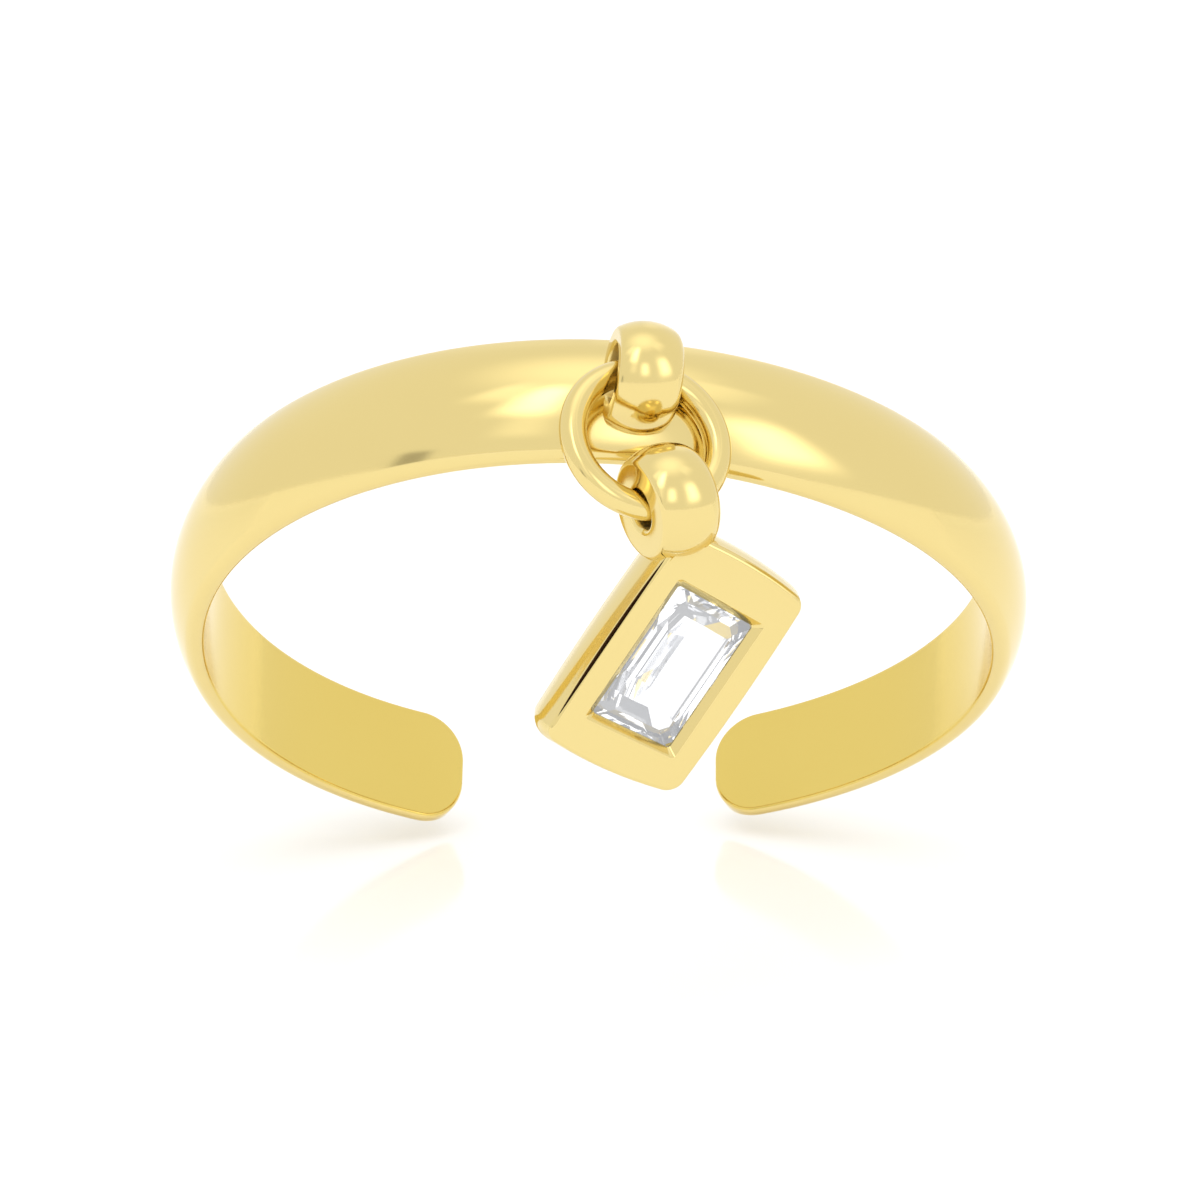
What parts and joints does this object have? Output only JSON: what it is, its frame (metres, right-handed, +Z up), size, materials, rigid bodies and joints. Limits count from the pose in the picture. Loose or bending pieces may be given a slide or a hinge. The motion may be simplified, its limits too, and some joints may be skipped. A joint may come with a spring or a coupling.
{
  "type": "toe ring",
  "caption": "Open toe ring with a domed band, an eye on its front, and a rectangular stone-set drop that swings on a wire ring",
  "frame": {"origin": "centre of the toe opening, on the axis that the toe lies along and at the middle of the band's width", "axes": "+Z up and -Y to the front, as the ring is held with the front of the band above its ends, so that the drop hangs plumb; +X to the right seen from the front. The toe's axis leans 43.8 degrees from +Z towards +Y, and lies in the YZ plane to within a degree"},
  "size_m": [0.0174, 0.0158, 0.0134],
  "materials": {
    "toe_band": "polished yellow gold",
    "jump_ring": "polished yellow gold",
    "setting": "polished yellow gold",
    "stone": "clear, faceted and polished"
  },
  "bodies": {
    "band": {"toe_band": "toe_band"},
    "wire_ring": {"jump_ring": "jump_ring"},
    "drop": {"setting": "setting", "stone": "stone"}
  },
  "joints": [
    {"name": "ring_swing", "type": "hinge", "parent": "band", "child": "wire_ring", "pos_m": [0.00082, -0.0066, 0.00621], "axis": [-0.9736, -0.155, 0.1674], "range_deg": [0, 160]},
    {"name": "drop_swing", "type": "hinge", "parent": "wire_ring", "child": "drop", "pos_m": [0.00128, -0.00819, 0.00425], "axis": [-0.8707, -0.4765, -0.1216], "range_deg": [-60, 120]}
  ]
}
